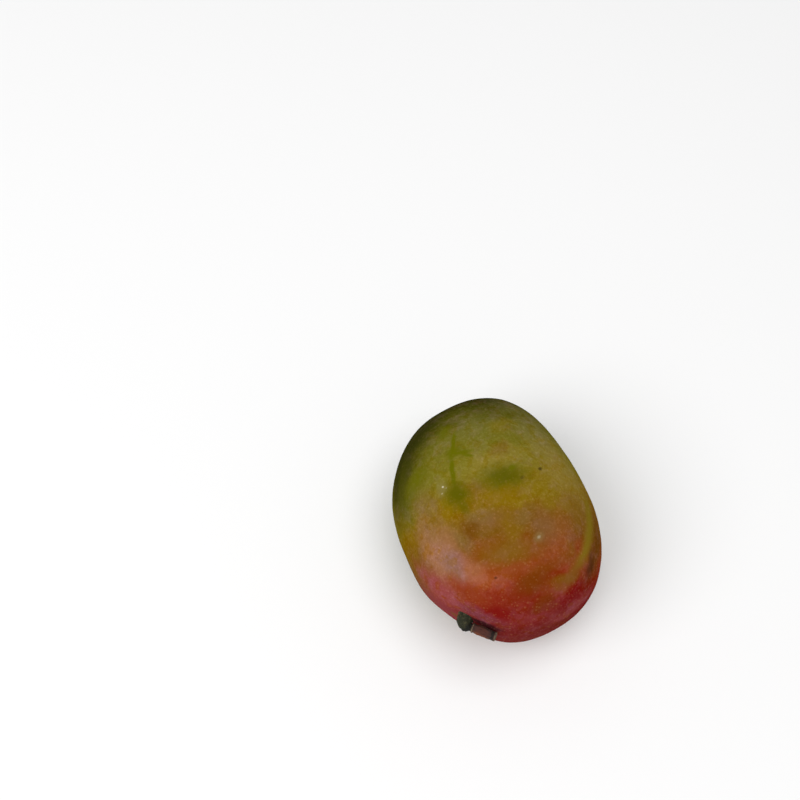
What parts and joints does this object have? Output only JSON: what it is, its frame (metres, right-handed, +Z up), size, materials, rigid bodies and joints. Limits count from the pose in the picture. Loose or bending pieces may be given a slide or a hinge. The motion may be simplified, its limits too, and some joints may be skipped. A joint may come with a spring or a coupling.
{
  "type": "mango",
  "caption": "Whole ripe mango with a short broken-off stem, lying on its flatter cheek.",
  "frame": {"origin": "on the surface that the mango lies on, under the middle of its box", "axes": "+Y along the fruit's long axis towards its tip, +Z up out of the surface, +X across the fruit's width; the stem leaves the shoulder that faces -X -Y"},
  "size_m": [0.0912, 0.1192, 0.0834],
  "materials": {
    "mango_skin": "smooth waxy fruit skin, satin, green and golden to crimson, with pale dots and a thin bloom",
    "stem_wood": "rough brown bark over a dark olive-green knuckle, matt"
  },
  "bodies": {
    "root": {"fruit": "mango_skin", "stem": "stem_wood"}
  },
  "joints": []
}
